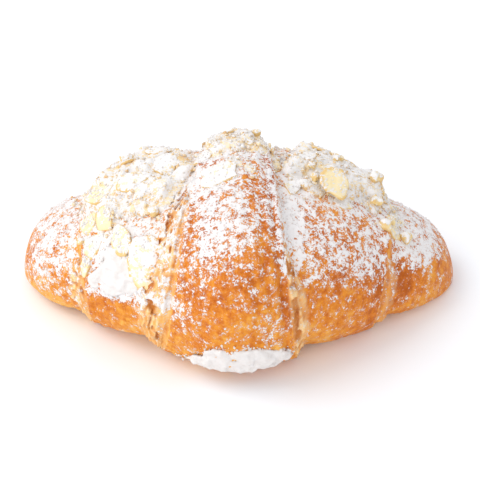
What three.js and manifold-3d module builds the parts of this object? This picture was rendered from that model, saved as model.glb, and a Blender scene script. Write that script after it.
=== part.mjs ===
// An almond croissant: one baked roll of laminated dough, almond cream baked onto its back in
// three patches, flaked and chopped almonds stuck to the cream, and two thick coats of icing sugar.
// Millimetres, +Z up. +X runs along the roll, -Y is its front. The origin is the middle of the
// whole croissant's footprint, on the surface that it stands on.

import * as THREE from "three";
import { mergeVertices } from "three/addons/utils/BufferGeometryUtils.js";
import Module from "manifold-3d";

const wasm = await Module();
wasm.setup();

// ---- Driving dimensions ----

const LENGTH = 158; // tip to tip
const FRONT_TO_BACK = 86.5; // at the middle
const DOUGH_HEIGHT = 56; // at the middle, without the toppings
const TIP_SWEEP = 15.6; // how far the tips bend towards the back
const MIDDLE = 0.16; // the share of a half over which the middle rounds into the straight halves
const SUNK = 0.82; // height of the roll's axis as a share of its half height, so the foot is flat
const SQUARENESS = 2.25; // exponent of the section's superellipse, 2 for an ellipse
const TAPER_POWER = 1.19; // 1 is a cone, 2 a barrel
const TIP_ROUNDNESS = 16; // higher makes a blunter tip

// The dough is a long triangle rolled up from its base. Its two edges wind outwards from the
// triangle's point, which lies low on the roll's back, so they part the skin into a middle band,
// a band on each side of it and the two tips. "start" is how far an edge is from the middle at
// the point, "pitch" how far each turn of it moves outwards, and "lean" says how evenly: 0 is an
// even helix, at 1 the edge crosses the front upright and moves outwards only at the back, and
// past 1 it leans the other way at the front. "tip" is the width that the last band tends to.
// "taper" is how much a side thins out to its tip, and "lift" is how far its tip is off the table.
const POINT_ANGLE = 200; // degrees round the roll
const SIDES = {
  left: { sign: -1, taper: 0.69, lift: 3.8, start: 2, pitch: [38, 26], lean: [0.2, 1.6], tip: 33 },
  right: { sign: 1, taper: 0.73, lift: 0.3, start: -1, pitch: [34, 32], lean: [0.4, 1.8], tip: 48 },
};
const STEP = 4.1; // how far the skin drops past the edge of a band
const STEP_WIDTH = 2.6; // the distance over which it drops
const PUFF = 1.6; // how far a band swells between its edges

const GAP = 0.3; // left between neighbouring pieces
const CREAM_SINKS = 1.5; // how deep the cream's body reaches before the dough is cut out of it
const SUGAR_SINKS = 0.8;

// Places on the skin are [x, angle]: millimetres along the roll, and degrees round it, from 0 at
// the front over 90 at the top to 180 at the back. An outline runs round anticlockwise, seen from
// outside the roll with +X to the right.
const CREAM = [
  {
    name: "almond_cream_left",
    outline: [
      [-57, 104], [-53, 74], [-45, 61], [-37, 69], [-28, 71], [-21, 83], [-16.4, 97], [-16.8, 120],
      [-27, 147], [-42, 150], [-53, 134],
    ],
    thickness: 3,
    lumps: 5,
  },
  {
    name: "almond_cream_centre",
    outline: [
      [-14.5, 112], [-11, 97], [-2, 91], [5, 88], [10, 90], [13, 101], [13, 120], [9, 138],
      [0, 149], [-11, 137],
    ],
    thickness: 1.2,
    lumps: 4,
  },
  {
    name: "almond_cream_right",
    outline: [
      [14.8, 113], [16, 95], [26, 84], [36, 84], [45, 84], [51, 75], [55.5, 84], [56, 108],
      [50, 131], [38, 146], [24, 145],
    ],
    thickness: 3.2,
    lumps: 6,
  },
];
const SUGAR = [
  {
    name: "icing_sugar_left",
    outline: [[-46, 46], [-48, 34], [-51, 19], [-46, 13], [-38, 13], [-33.5, 21], [-35, 40], [-42, 51]],
    thickness: 1.3,
    lumps: 3,
  },
  {
    name: "icing_sugar_foot",
    outline: [
      [-18, -28], [-12, -31], [0, -31], [12, -30], [17.5, -21], [13, -13], [5, -7], [-2, -9],
      [-7, -6], [-13, -15],
    ],
    thickness: 0.9,
    lumps: 4,
  },
];

// Each almond lies on whatever is under it at a place on the skin. "turn" is the direction of
// its point: 0 along the roll to the right, 90 up the front and over the back.
const FLAKE_THICKNESS = 1;
const FLAKES = [
  // the left band, from its lower edge up
  { at: [-31.5, 37], turn: 96, length: 20, width: 11 },
  { at: [-39.5, 55], turn: 120, length: 13.5, width: 8.5 },
  { at: [-50, 54], turn: -95, length: 13, width: 8.5 },
  { at: [-53, 32], turn: -100, length: 8, width: 5 },
  { at: [-52, 73], turn: -80, length: 11, width: 8.5 },
  { at: [-45.5, 69], turn: -75, length: 12, width: 8.5 },
  { at: [-48, 89], turn: 40, length: 13, width: 10 },
  { at: [-35.5, 92], turn: 15, length: 13, width: 9.5 },
  { at: [-38, 116], turn: 170, length: 14, width: 10 },
  { at: [-25, 104], turn: 75, length: 12, width: 9 },
  { at: [-27, 128], turn: 20, length: 13, width: 9.5 },
  { at: [-44, 134], turn: 200, length: 13, width: 9 },
  // the middle band
  { at: [-7, 88], turn: 102, length: 15, width: 12.5 },
  { at: [-13.5, 102], turn: 150, length: 10, width: 7 },
  { at: [7, 126], turn: 40, length: 9, width: 6.5 },
  { at: [-6, 128], turn: 60, length: 12, width: 9 },
  { at: [4, 141], turn: -20, length: 12, width: 8.5 },
  // the right band
  { at: [17.5, 88], turn: 35, length: 9.5, width: 6 },
  { at: [21, 112], turn: 95, length: 13, width: 9 },
  { at: [31, 87], turn: -70, length: 12.5, width: 11.5 },
  { at: [36, 82], turn: 8, length: 9, width: 6 },
  { at: [30, 128], turn: 5, length: 14, width: 9.5 },
  { at: [40, 112], turn: 140, length: 12, width: 9 },
  { at: [51, 97], turn: 60, length: 10, width: 7.5 },
  { at: [49.5, 108], turn: 100, length: 9, width: 7.5 },
  { at: [55, 88], turn: 10, length: 8, width: 7 },
  { at: [53.5, 75], turn: -50, length: 9, width: 7.5 },
  { at: [40, 139], turn: 190, length: 12, width: 8.5 },
];
const CRUMBS = [
  { at: [-28.5, 71], size: 4.2 },
  { at: [-38, 117], size: 5 },
  { at: [-54, 57], size: 3.4 },
  { at: [-33, 136], size: 4.4 },
  { at: [3, 106], size: 3.4 },
  { at: [5, 122], size: 3.8 },
  { at: [25, 91], size: 3.8 },
  { at: [33, 114], size: 4.4 },
  { at: [45.5, 105], size: 5.4 },
  { at: [24, 99], size: 3.6 },
  { at: [46.5, 89], size: 5 },
  { at: [49.5, 73], size: 4.8 },
  { at: [52.5, 81], size: 4.4 },
  { at: [57, 71], size: 5 },
];

const HALF = LENGTH / 2;
const HALF_DEPTH = FRONT_TO_BACK / 2;
const HALF_HEIGHT = DOUGH_HEIGHT / (1 + SUNK);
const TURN = 360;

const radians = THREE.MathUtils.degToRad;
const signedPower = (value, power) => Math.sign(value) * Math.abs(value) ** power;
const wave = (turn) => Math.sin(2 * Math.PI * turn) / (2 * Math.PI);

// ---- The dough's skin ----

const sideOf = (x) => (x < 0 ? SIDES.left : SIDES.right);

// How far along its half a place is: 0 at the middle, 1 at the tip, with a rounded start.
function reach(x) {
  const s = Math.min(Math.abs(x) / HALF, 1);
  return (Math.hypot(s, MIDDLE) - MIDDLE) / (Math.hypot(1, MIDDLE) - MIDDLE);
}

// The roll's thickness at a place along it, as a share of its thickness at the middle.
function fullness(x) {
  const closing = Math.sqrt(1 - Math.min(Math.abs(x) / HALF, 1) ** TIP_ROUNDNESS);
  return (1 - sideOf(x).taper * reach(x) ** TAPER_POWER) * closing;
}

// How far round the roll an angle is from the triangle's point, in turns from 0 to 1.
const turnFromPoint = (angle) => ((((POINT_ANGLE - angle) % TURN) + TURN) % TURN) / TURN;

// Where the edges of one side's bands are, as distances from the middle.
function edgesOf(side, turn) {
  const edges = [];
  let start = side.start;
  side.pitch.forEach((pitch, i) => {
    edges.push(start + pitch * (turn + side.lean[i] * wave(turn)));
    start += pitch;
  });
  // the last band has no edge beyond it
  edges.push(edges.at(-1) + side.tip);
  return edges;
}

// How far out of the mean skin a spot lies: highest at the edge of a band, lowest just past it.
function relief(x, angle) {
  const turn = turnFromPoint(angle);
  const left = edgesOf(SIDES.left, turn);
  const right = edgesOf(SIDES.right, turn);
  const edges = x < 0 ? left : right;
  const outwards = Math.abs(x);
  const band = edges.filter((edge) => edge <= outwards).length;
  if (band === 0) {
    const middle = (right[0] - left[0]) / 2;
    const halfWidth = Math.max((right[0] + left[0]) / 2, STEP_WIDTH / 2);
    const across = Math.min(Math.abs(x - middle) / halfWidth, 1);
    return STEP / 2 + PUFF * Math.cos((Math.PI / 2) * across);
  }
  const past = outwards - edges[band - 1];
  const width = (edges[band] ?? HALF) - edges[band - 1];
  const across = Math.min(past / width, 1);
  const dropped = THREE.MathUtils.smoothstep(past, 0, STEP_WIDTH);
  return STEP * (across + 0.5 - dropped) + PUFF * Math.sin(Math.PI * across);
}

// The point at a place on the skin, or "lift" above it.
function skin(x, angle, lift = 0) {
  const size = fullness(x);
  const out = lift + relief(x, angle) * Math.sqrt(size);
  const depth = HALF_DEPTH * size + out;
  const height = HALF_HEIGHT * size + out;
  const axisHeight = SUNK * HALF_HEIGHT * size + sideOf(x).lift * reach(x) ** 2;
  const forwards = signedPower(Math.cos(radians(angle)), 2 / SQUARENESS);
  const upwards = signedPower(Math.sin(radians(angle)), 2 / SQUARENESS);
  const y = TIP_SWEEP * reach(x) - depth * forwards;
  const z = Math.max(axisHeight + height * upwards, 0);
  return new THREE.Vector3(x, y, z);
}

// The frame of the skin at a place: x along the roll, y round it, z out of it.
function frameAt([x, angle]) {
  const origin = skin(x, angle);
  const along = skin(x + 4, angle).sub(skin(x - 4, angle)).normalize();
  const round = skin(x, angle + 8).sub(skin(x, angle - 8)).normalize();
  const out = along.clone().cross(round).normalize();
  round.crossVectors(out, along);
  return new THREE.Matrix4().makeBasis(along, round, out).setPosition(origin);
}

// ---- Closed meshes and solids ----

// A closed body from rings of points: each ring has the same count, and each end has one pole.
// The rings run round clockwise for an eye that looks from the first pole towards the last.
function closedFromRings(rings, firstPole, lastPole) {
  const count = rings[0].length;
  const points = [firstPole, ...rings.flat(), lastPole];
  const faces = [];
  const at = (ring, i) => 1 + ring * count + (i % count);
  for (let i = 0; i < count; i++) {
    faces.push([0, at(0, i), at(0, i + 1)]);
    for (let ring = 0; ring + 1 < rings.length; ring++) {
      faces.push([at(ring, i), at(ring + 1, i + 1), at(ring, i + 1)]);
      faces.push([at(ring, i), at(ring + 1, i), at(ring + 1, i + 1)]);
    }
    faces.push([points.length - 1, at(rings.length - 1, i + 1), at(rings.length - 1, i)]);
  }
  const geometry = new THREE.BufferGeometry().setFromPoints(points);
  geometry.setIndex(faces.flat());
  return geometry;
}

function solidFrom(geometry) {
  const bare = new THREE.BufferGeometry();
  bare.setAttribute("position", geometry.getAttribute("position").clone());
  bare.setIndex(geometry.getIndex());
  const merged = mergeVertices(bare);
  return new wasm.Manifold(
    new wasm.Mesh({
      numProp: 3,
      vertProperties: new Float32Array(merged.getAttribute("position").array),
      triVerts: new Uint32Array(merged.getIndex().array),
    })
  );
}

function geometryFrom(solid) {
  const { vertProperties, triVerts } = solid.getMesh();
  const geometry = new THREE.BufferGeometry();
  geometry.setAttribute("position", new THREE.BufferAttribute(vertProperties, 3));
  geometry.setIndex(new THREE.BufferAttribute(triVerts, 1));
  return geometry;
}

// ---- The dough ----

const RING_SPACING = 3.4;
const TIP_RINGS = [0.4, 1.5]; // distances from a tip
const AROUND = 42; // points round each ring

// How strongly the rings lean to follow the edges of the bands over the roll's front.
function ringLean(x) {
  const side = sideOf(x);
  const [inner, outer] = edgesOf(side, 0.5);
  const outwards = Math.abs(x);
  const beyond = Math.max((outer - outwards) / (outer - inner), 0);
  const share = outwards < inner ? outwards / inner : beyond;
  return -side.sign * share * side.pitch[0] * (1 - side.lean[0]);
}

// The rings' places along the front: close together where the skin drops, evenly spaced between.
function ringPlaces() {
  const stops = [-HALF, 0, HALF];
  for (const inset of TIP_RINGS) stops.push(inset - HALF, HALF - inset);
  for (const side of [SIDES.left, SIDES.right]) {
    for (const edge of edgesOf(side, 0.5).filter((place) => place < HALF - STEP_WIDTH)) {
      stops.push(side.sign * edge, side.sign * (edge + STEP_WIDTH));
    }
  }
  stops.sort((a, b) => a - b);
  const places = [];
  for (let i = 0; i + 1 < stops.length; i++) {
    const length = stops[i + 1] - stops[i];
    const parts = length > STEP_WIDTH + 0.1 ? Math.ceil(length / RING_SPACING) : Math.ceil(length);
    for (let j = 0; j < parts; j++) places.push(stops[i] + (length * j) / parts);
  }
  return places.slice(1);
}

function doughGeometry(lift = 0) {
  const rings = ringPlaces().map((place) => {
    const ring = [];
    for (let j = 0; j < AROUND; j++) {
      const angle = (TURN * j) / AROUND;
      ring.push(skin(place + ringLean(place) * wave(turnFromPoint(angle)), angle, lift));
    }
    return ring;
  });
  const reach = new THREE.Vector3(lift, 0, 0);
  return closedFromRings(rings, skin(-HALF, 0).sub(reach), skin(HALF, 0).add(reach));
}

const dough = solidFrom(doughGeometry());
const grownDough = solidFrom(doughGeometry(GAP));

// ---- Coats: cream and sugar lying on the dough ----

const COAT_AROUND = 30;
const COAT_RINGS = [0.3, 0.55, 0.78, 0.93, 1]; // shares of the way from the middle to the rim
const RIM = 0.25; // a coat's thickness at its rim, as a share of its full thickness

function coatGeometry({ outline, thickness, lumps }, sinks) {
  const rim = new THREE.CatmullRomCurve3(
    outline.map(([x, angle]) => new THREE.Vector3(x, angle, 0)),
    true
  ).getSpacedPoints(COAT_AROUND);
  rim.pop();
  const middle = new THREE.Vector3();
  rim.forEach((spot) => middle.addScaledVector(spot, 1 / COAT_AROUND));
  const heightAt = (spot, share) => {
    const lump = 1 + 0.14 * Math.sin(spot.x * 0.55 + lumps) * Math.cos(spot.y * 0.16 * lumps);
    return GAP + thickness * lump * (RIM + (1 - RIM) * (1 - share ** 4));
  };
  const ringAt = (share, liftAt) =>
    rim.map((edge) => {
      const spot = middle.clone().lerp(edge, share);
      return skin(spot.x, spot.y, liftAt(spot, share));
    });
  const above = COAT_RINGS.map((share) => ringAt(share, heightAt));
  const below = COAT_RINGS.map((share) => ringAt(share, () => -sinks)).reverse();
  const top = skin(middle.x, middle.y, heightAt(middle, 0));
  return closedFromRings([...above, ...below], top, skin(middle.x, middle.y, -sinks));
}

const coat = (shape, sinks) => solidFrom(coatGeometry(shape, sinks)).subtract(grownDough);

// ---- Almonds ----

// A flake's outline: round at one end, pointed at the other, across a quarter turn of direction.
const FLAKE_AROUND = 14;
const FLAKE_CURL = 0.9; // how far its ends bend down towards the roll
const FLAKE_POINT = 0.34; // how much narrower its pointed half is

function flakeGeometry({ length, width }) {
  const pointAt = (turn, share, up) => {
    const x = Math.cos(turn) * share;
    const y = Math.sin(turn) * share * (1 - FLAKE_POINT * Math.max(x, 0) - 0.12 * x);
    const sag = FLAKE_CURL * (x * x) * (length / 14) ** 2;
    return new THREE.Vector3((x * length) / 2, (y * width) / 2, up * FLAKE_THICKNESS - sag);
  };
  const ringAt = (share, up) => {
    const ring = [];
    for (let i = 0; i < FLAKE_AROUND; i++) {
      ring.push(pointAt((2 * Math.PI * i) / FLAKE_AROUND, share, up));
    }
    return ring;
  };
  const rings = [ringAt(0.6, 1), ringAt(0.95, 1), ringAt(1, 0.5), ringAt(0.95, 0), ringAt(0.6, 0)];
  return closedFromRings(rings, pointAt(0, 0, 1), pointAt(0, 0, 0));
}

// A crumb: a lump whose sides bulge unevenly.
const CRUMB_AROUND = 7;

function crumbGeometry({ size }, seed) {
  const ringAt = (radius, z) => {
    const ring = [];
    for (let i = 0; i < CRUMB_AROUND; i++) {
      const turn = (2 * Math.PI * i) / CRUMB_AROUND;
      const uneven = 1 + 0.16 * Math.sin(3 * turn + seed) + 0.1 * Math.cos(2 * turn - seed * z);
      ring.push(
        new THREE.Vector3(Math.cos(turn), Math.sin(turn), 0)
          .multiplyScalar((size / 2) * radius * uneven)
          .setZ(z * size)
      );
    }
    return ring;
  };
  const rings = [ringAt(0.78, 0.56), ringAt(1, 0.28), ringAt(0.72, 0.04)];
  return closedFromRings(rings, new THREE.Vector3(0, 0, size * 0.68), new THREE.Vector3(0, 0, 0));
}

// The piece laid on the pile at its place: raised out of the skin until it is clear of all below.
const RAISE = 0.2;
const HIGHEST = 14;

function laidOn(pile, geometry, { at, turn = 0 }) {
  const frame = frameAt(at).multiply(new THREE.Matrix4().makeRotationZ(radians(turn)));
  const placedAt = (height) => {
    const lifted = frame.clone().multiply(new THREE.Matrix4().makeTranslation(0, 0, height));
    return solidFrom(geometry.clone().applyMatrix4(lifted));
  };
  for (let height = 0; height < HIGHEST; height += RAISE) {
    if (placedAt(height).intersect(pile).isEmpty()) return placedAt(height + GAP);
  }
  throw new Error(`nothing is clear at ${at}`);
}

// ---- The croissant ----

const material = (color, roughness) =>
  new THREE.MeshStandardMaterial({ color, roughness, metalness: 0 });
const crust = material(0xc9782e, 0.6);
const cream = material(0xe6c890, 0.9);
const almond = material(0xf0e0b6, 0.6);
const sugar = material(0xffffff, 0.95);

const croissant = new THREE.Group();

function add(name, solid, finish) {
  const mesh = new THREE.Mesh(geometryFrom(solid), finish);
  mesh.name = name;
  croissant.add(mesh);
}

add("croissant_dough", dough, crust);
let pile = dough;

for (const shape of CREAM) {
  const solid = coat(shape, CREAM_SINKS);
  add(shape.name, solid, cream);
  pile = pile.add(solid);
}

for (const shape of SUGAR) {
  const solid = coat(shape, SUGAR_SINKS);
  add(shape.name, solid, sugar);
  pile = pile.add(solid);
}

const numbered = (name, i) => `${name}_${String(i + 1).padStart(2, "0")}`;

FLAKES.forEach((shape, i) => {
  const solid = laidOn(pile, flakeGeometry(shape), shape);
  add(numbered("almond_flake", i), solid, almond);
  pile = pile.add(solid);
});

CRUMBS.forEach((shape, i) => {
  const solid = laidOn(pile, crumbGeometry(shape, i), shape);
  add(numbered("almond_crumb", i), solid, almond);
  pile = pile.add(solid);
});

const middle = new THREE.Box3().setFromObject(croissant).getCenter(new THREE.Vector3());
croissant.position.set(-middle.x, -middle.y, 0);

export default croissant;
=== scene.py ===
# %% [markdown]
# # An almond croissant
# A baker rolls a long triangle of buttered, folded dough into a croissant, spreads almond cream
# along its back, presses flaked almonds into the cream, bakes it, and dusts it with icing sugar.
# This lesson follows the same order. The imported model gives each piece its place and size, and
# Blender gives it the surface that an oven and a sugar sieve would.

# %% Load the model that everything is fitted to
import math

import bpy
import numpy as np
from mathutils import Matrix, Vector
from mathutils.bvhtree import BVHTree


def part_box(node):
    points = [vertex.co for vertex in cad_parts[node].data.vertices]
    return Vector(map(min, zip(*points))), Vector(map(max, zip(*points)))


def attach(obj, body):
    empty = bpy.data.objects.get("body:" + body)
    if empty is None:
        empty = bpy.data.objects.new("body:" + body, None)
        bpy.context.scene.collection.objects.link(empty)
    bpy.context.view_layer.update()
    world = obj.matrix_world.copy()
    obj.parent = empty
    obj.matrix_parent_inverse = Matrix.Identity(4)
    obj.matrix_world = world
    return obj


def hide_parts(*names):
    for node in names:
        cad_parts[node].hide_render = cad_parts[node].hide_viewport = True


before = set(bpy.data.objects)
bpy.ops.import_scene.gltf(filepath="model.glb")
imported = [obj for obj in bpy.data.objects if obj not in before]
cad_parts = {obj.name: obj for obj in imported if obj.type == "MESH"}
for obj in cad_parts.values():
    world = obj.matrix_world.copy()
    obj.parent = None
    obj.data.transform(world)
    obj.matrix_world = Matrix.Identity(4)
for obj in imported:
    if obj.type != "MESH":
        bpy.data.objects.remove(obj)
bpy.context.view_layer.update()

MM = 0.001
print("nodes in the model:", len(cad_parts))

# %% [markdown]
# ## The camera
# A croissant on a plate is seen from above the table's edge: here 38 degrees above the table,
# through a long lens, so that the tips don't shrink away.

# %% Camera
LOOK_DOWN = math.radians(38)
LOOK_FROM = 460 * MM
LOOK_AT = Vector((0.2, 2.0, 27.7)) * MM

bpy.ops.object.camera_add()
camera = bpy.context.object
camera.data.lens = 98.35
camera.data.clip_start = 0.01
backwards = Vector((0, -math.cos(LOOK_DOWN), math.sin(LOOK_DOWN)))
camera.location = LOOK_AT + backwards * LOOK_FROM
camera.rotation_euler = (-backwards).to_track_quat("-Z", "Y").to_euler()
bpy.context.scene.camera = camera
print("camera at", [round(v, 3) for v in camera.location])

# %% [markdown]
# ## Light and table
# The table and the room are white. A large soft lamp stands high on the left, a weak one fills
# in from the front left, and the white room lights the croissant from everywhere else, so its
# shadow is pale and has no hard edge.

# %% Lamps and table
LAMP_AIM = Vector((0, 0, 20)) * MM


def soft_lamp(name, place, size, power):
    bpy.ops.object.light_add(type="AREA", location=Vector(place))
    lamp = bpy.context.object
    lamp.name = name
    lamp.data.shape = "DISK"
    lamp.data.size = size
    lamp.data.energy = power
    lamp.rotation_euler = (LAMP_AIM - lamp.location).to_track_quat("-Z", "Y").to_euler()


soft_lamp("lamp_left", (-0.62, 0.0, 0.86), 0.7, 3.9)
soft_lamp("fill_front_left", (-0.55, -0.95, 0.25), 0.9, 3.1)

room = bpy.data.worlds.new("white_room")
bpy.context.scene.world = room
room.use_nodes = True
room.node_tree.nodes["Background"].inputs["Color"].default_value = (0.965, 0.99, 1.025, 1)
room.node_tree.nodes["Background"].inputs["Strength"].default_value = 0.92
bpy.context.scene.view_settings.view_transform = "Standard"
bpy.context.scene.view_settings.look = "None"

bpy.ops.mesh.primitive_plane_add(size=4)
table = bpy.context.object
table.name = "table"

# %% [markdown]
# ## Small tools
# Three kinds of helper serve the whole lesson: reading and moving a mesh's points as one array in
# millimetres, uneven patterns (a smooth one that drifts, and one of cells like crumbs), and one
# function that adds a shader node.

# %% Points and attributes of a mesh


def points_of(mesh):
    flat = np.empty(len(mesh.vertices) * 3)
    mesh.vertices.foreach_get("co", flat)
    return flat.reshape(-1, 3) / MM


def move_points(mesh, points):
    mesh.vertices.foreach_set("co", (points * MM).ravel())
    mesh.update()


def normals_of(mesh):
    flat = np.empty(len(mesh.vertices) * 3, dtype=np.float32)
    mesh.vertex_normals.foreach_get("vector", flat)
    return flat.reshape(-1, 3).astype(float)


def columns(*numbers):
    """Puts lists of numbers side by side, one row for each point."""
    return np.stack(numbers, axis=1)


def note(mesh, name, values):
    layer = mesh.attributes.new(name, "FLOAT", "POINT")
    layer.data.foreach_set("value", np.asarray(values, dtype=np.float32))


def ramp(value, low, high):
    share = np.clip((value - low) / (high - low), 0, 1)
    return share * share * (3 - 2 * share)


# %% Uneven patterns
corners = np.array([[i, j, k] for i in (0, 1) for j in (0, 1) for k in (0, 1)])
around = np.array([[i, j, k] for i in (-1, 0, 1) for j in (-1, 0, 1) for k in (-1, 0, 1)])
draw = np.random.default_rng(7)
SLOPES = draw.normal(size=(512, 3))
SLOPES /= np.linalg.norm(SLOPES, axis=1)[:, None]
SPOTS = draw.random((512, 3))
SHUFFLE = draw.permutation(512)


def shuffled(cell, seed):
    mixed = SHUFFLE[(cell[:, 0] + seed * 57) % 512]
    mixed = SHUFFLE[(mixed + cell[:, 1]) % 512]
    return SHUFFLE[(mixed + cell[:, 2]) % 512]


def drift(points, size, seed=0):
    """A smooth pattern, about -1 to 1, whose swells are "size" millimetres apart."""
    scaled = np.asarray(points) / size
    cell = np.floor(scaled).astype(int)
    inside = scaled - cell
    ease = inside**3 * (inside * (inside * 6 - 15) + 10)
    total = np.zeros(len(scaled))
    for corner in corners:
        slope = SLOPES[shuffled(cell + corner, seed)]
        weight = np.prod(np.where(corner, ease, 1 - ease), axis=1)
        total += weight * ((inside - corner) * slope).sum(axis=1)
    return total * 1.6


def rough(points, size, seed=0):
    """Three drifts, each finer and weaker than the one before."""
    return sum(drift(points, size / 2**i, seed + i) / 1.8**i for i in range(3))


def crumbs(points, size, seed=0):
    """How near each point is to the middle of its cell: 1 at the middle, 0 far away."""
    scaled = np.asarray(points) / size
    cell = np.floor(scaled).astype(int)
    nearest = np.full(len(scaled), 9.0)
    for step in around:
        spot = cell + step + SPOTS[shuffled(cell + step, seed)]
        nearest = np.minimum(nearest, ((scaled - spot) ** 2).sum(axis=1))
    return np.clip(1 - np.sqrt(nearest) / 0.8, 0, 1)


# %% Shader nodes


def paint(code):
    """An sRGB hex code such as C9782E as the linear colour that shaders take."""
    channels = [int(code[i : i + 2], 16) / 255 for i in (0, 2, 4)]
    linear = [c / 12.92 if c <= 0.04045 else ((c + 0.055) / 1.055) ** 2.4 for c in channels]
    return (*linear, 1.0)


def add_node(tree, kind, inputs=None, stops=(), **settings):
    """Adds a shader node with its settings and links: a node given as an input is linked by its
    first output. Stops are a colour ramp's."""
    made = tree.nodes.new(kind)
    for position, _ in stops[1:-1]:
        made.color_ramp.elements.new(position)
    for i, (position, code) in enumerate(stops):
        made.color_ramp.elements[i].position = position
        made.color_ramp.elements[i].color = paint(code)
    for name, value in settings.items():
        setattr(made, name, value)
    for name, value in (inputs or {}).items():
        if isinstance(value, bpy.types.Node):
            value = value.outputs[0]
        if isinstance(value, bpy.types.NodeSocket):
            tree.links.new(value, made.inputs[name])
        else:
            made.inputs[name].default_value = value
    return made


def new_material(name, **values):
    """A material with the given values on its shader, and what its patterns are placed by."""
    material = bpy.data.materials.new(name)
    material.use_nodes = True
    shader = material.node_tree.nodes["Principled BSDF"]
    for socket, value in values.items():
        shader.inputs[socket.replace("_", " ")].default_value = value
    tree = material.node_tree
    return material, tree, shader, add_node(tree, "ShaderNodeTexCoord").outputs["Object"]


# %% [markdown]
# ## The shape of the roll
# Every place on the croissant has two numbers: how far along the roll it is, and how far round.
# The dough was a triangle, so its two edges wind outwards from the triangle's point as the roll
# grows. One formula gives the skin's place, and how far past the last edge each place is, and
# everything that follows the wrapping uses it: the skin, its torn layers and the bake's colour.

# %% The roll's measures, in millimetres
dough_low, dough_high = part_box("croissant_dough")
HALF = (dough_high.x - dough_low.x) / 2 / MM
HALF_DEPTH = 86.5 / 2
SUNK = 0.82
HALF_HEIGHT = 56 / (1 + SUNK)
TIP_SWEEP = 15.6
MIDDLE = 0.16
SQUARENESS = 2.25
TAPER_POWER = 1.19
TIP_ROUNDNESS = 16
POINT_ANGLE = 200
STEP = 4.1
PUFF = 1.6
LEFT = {"sign": -1, "taper": 0.69, "lift": 3.8,
        "start": 2, "pitch": (38, 26), "lean": (0.2, 1.6), "tip": 33}
RIGHT = {"sign": 1, "taper": 0.73, "lift": 0.3,
         "start": -1, "pitch": (34, 32), "lean": (0.4, 1.8), "tip": 48}

# %% The skin's formula


def by_side(x, name):
    return np.where(x < 0, LEFT[name], RIGHT[name])


def reach(x):
    share = np.minimum(np.abs(x) / HALF, 1)
    return (np.hypot(share, MIDDLE) - MIDDLE) / (math.hypot(1, MIDDLE) - MIDDLE)


def fullness(x):
    closing = np.sqrt(1 - np.minimum(np.abs(x) / HALF, 1) ** TIP_ROUNDNESS)
    return (1 - by_side(x, "taper") * reach(x) ** TAPER_POWER) * closing


def edges_of(side, angle):
    turn = ((POINT_ANGLE - angle) % 360) / 360
    edges, start = [], side["start"]
    for pitch, lean in zip(side["pitch"], side["lean"]):
        edges.append(start + pitch * (turn + lean * np.sin(2 * np.pi * turn) / (2 * np.pi)))
        start += pitch
    edges.append(edges[-1] + side["tip"])
    return edges


FAR = 99.0


def wrapping(x, angle, drop=2.6):
    """The band's relief, the distance past its inner edge and the distance to its outer edge."""
    left, right = edges_of(LEFT, angle), edges_of(RIGHT, angle)
    centre = (right[0] - left[0]) / 2
    half_width = np.maximum((right[0] + left[0]) / 2, 1.3)
    across = np.minimum(np.abs(x - centre) / half_width, 1)
    relief = STEP / 2 + PUFF * np.cos(np.pi / 2 * across)
    past = np.full(x.shape, FAR)
    before = np.maximum(np.where(x < 0, left[0], right[0]) - np.abs(x), 0)
    for edges, here in ((left, x < 0), (right, x >= 0)):
        for inner, outer in zip(edges, [*edges[1:], np.full(x.shape, HALF)]):
            inside = here & (np.abs(x) >= inner) & ((np.abs(x) < outer) | (inner == edges[-1]))
            beyond = np.abs(x) - inner
            share = np.clip(beyond / np.maximum(outer - inner, 1), 0, 1)
            band = STEP * (share + 0.5 - ramp(beyond, 0, drop)) + PUFF * np.sin(np.pi * share)
            relief = np.where(inside, band, relief)
            past = np.where(inside, beyond, past)
            before = np.where(inside, outer - np.abs(x), before)
    return relief, past, before


def skin_at(x, angle, relief):
    size = fullness(x)
    out = relief * np.sqrt(size)
    forwards = np.cos(np.radians(angle))
    upwards = np.sin(np.radians(angle))
    forwards = np.sign(forwards) * np.abs(forwards) ** (2 / SQUARENESS)
    upwards = np.sign(upwards) * np.abs(upwards) ** (2 / SQUARENESS)
    y = TIP_SWEEP * reach(x) - (HALF_DEPTH * size + out) * forwards
    axis_height = SUNK * HALF_HEIGHT * size + by_side(x, "lift") * reach(x) ** 2
    z = np.maximum(axis_height + (HALF_HEIGHT * size + out) * upwards, 0)
    return columns(x, y + shift_y, z)


# The model stands with the middle of its footprint at the origin, so the formula is moved to it.
shift_y = 0.0
around_middle = np.linspace(0, 360, 361)
front_most = skin_at(np.zeros(361), around_middle, wrapping(np.zeros(361), around_middle)[0])
shift_y = dough_low.y / MM - front_most[:, 1].min()
print("the roll is moved back by", round(shift_y, 2), "mm")

# %% [markdown]
# ## Torn edges
# Where a wrap ends, the oven pulled the layers apart. The crust there is open: thin pale leaves
# with holes between them. Each tear is a long leaf-shaped gap beside an edge. The skin is sunk
# along it, and a strip of torn leaves lies in the hollow. Carving the strip with the skin would
# need far more faces all over, so it is a piece of its own.

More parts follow.
